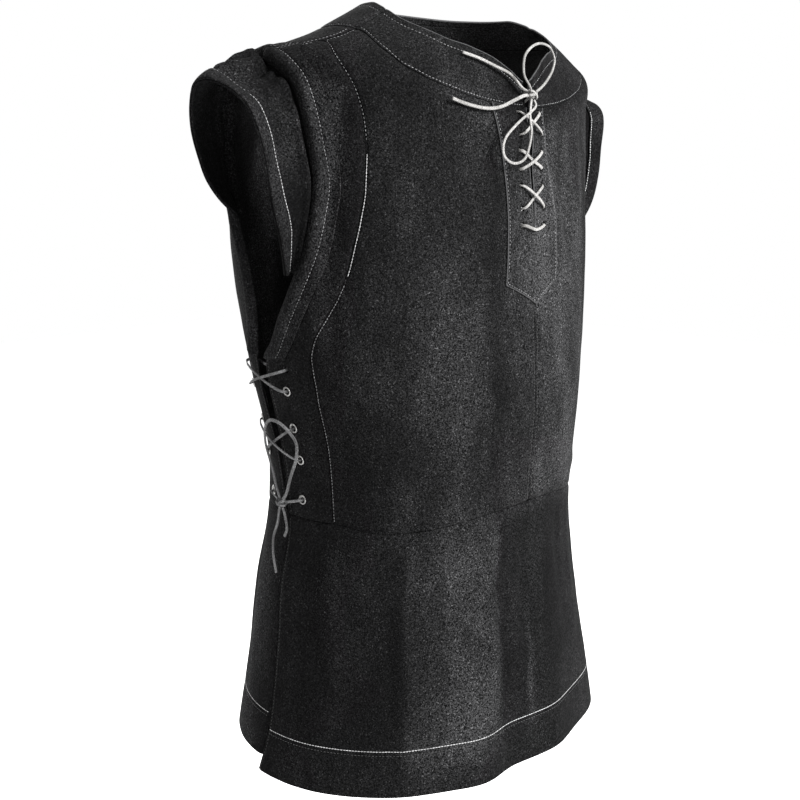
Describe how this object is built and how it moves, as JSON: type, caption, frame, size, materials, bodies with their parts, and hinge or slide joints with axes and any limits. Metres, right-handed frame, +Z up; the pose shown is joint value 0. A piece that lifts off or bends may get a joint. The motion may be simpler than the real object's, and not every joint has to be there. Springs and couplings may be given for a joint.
{
  "type": "laced suede jerkin",
  "caption": "Short fitted sleeveless suede vest with cap sleeves, a laced neck slit, laced side openings and a short flared skirt, worn form.",
  "frame": {"origin": "midway between the shoulders, at the height where they carry the garment", "axes": "-Y the way the wearer faces, +X the wearer's left, +Z up"},
  "size_m": [0.563, 0.3332, 0.7403],
  "materials": {
    "suede_body": "matt black suede, mottled nap",
    "suede_trim": "matt black suede, topstitched",
    "pale_thong": "pale grey suede lace",
    "grey_thong": "dark grey suede lace",
    "eyelet_metal": "nickel-coloured eyelet"
  },
  "bodies": {
    "root": {"armhole_band_back_left": "suede_trim", "armhole_band_back_right": "suede_trim", "armhole_band_front_left": "suede_trim", "armhole_band_front_right": "suede_trim", "back": "suede_body", "cap_band_left": "suede_trim", "cap_band_right": "suede_trim", "cap_left": "suede_body", "cap_right": "suede_body", "collar_back": "suede_trim", "collar_front_left": "suede_trim", "collar_front_right": "suede_trim", "eyelet_back_left_1": "eyelet_metal", "eyelet_back_left_2": "eyelet_metal", "eyelet_back_left_3": "eyelet_metal", "eyelet_back_left_4": "eyelet_metal", "eyelet_back_right_1": "eyelet_metal", "eyelet_back_right_2": "eyelet_metal", "eyelet_back_right_3": "eyelet_metal", "eyelet_back_right_4": "eyelet_metal", "eyelet_front_left_1": "eyelet_metal", "eyelet_front_left_2": "eyelet_metal", "eyelet_front_left_3": "eyelet_metal", "eyelet_front_left_4": "eyelet_metal", "eyelet_front_right_1": "eyelet_metal", "eyelet_front_right_2": "eyelet_metal", "eyelet_front_right_3": "eyelet_metal", "eyelet_front_right_4": "eyelet_metal", "front_lace": "pale_thong", "front_lace_knot": "pale_thong", "front_lace_loop_lower": "pale_thong", "front_lace_loop_upper": "pale_thong", "front_lace_tail_neck": "pale_thong", "front_lace_tail_side": "pale_thong", "front_left": "suede_body", "front_right": "suede_body", "placket": "suede_trim", "side_front_left": "suede_body", "side_front_right": "suede_body", "side_lace_left": "grey_thong", "side_lace_left_knot": "grey_thong", "side_lace_left_loop": "grey_thong", "side_lace_left_tail_long": "grey_thong", "side_lace_left_tail_short": "grey_thong", "side_lace_right": "grey_thong", "side_lace_right_knot": "grey_thong", "side_lace_right_loop": "grey_thong", "side_lace_right_tail_long": "grey_thong", "side_lace_right_tail_short": "grey_thong", "skirt_back": "suede_body", "skirt_front": "suede_body"}
  },
  "joints": []
}
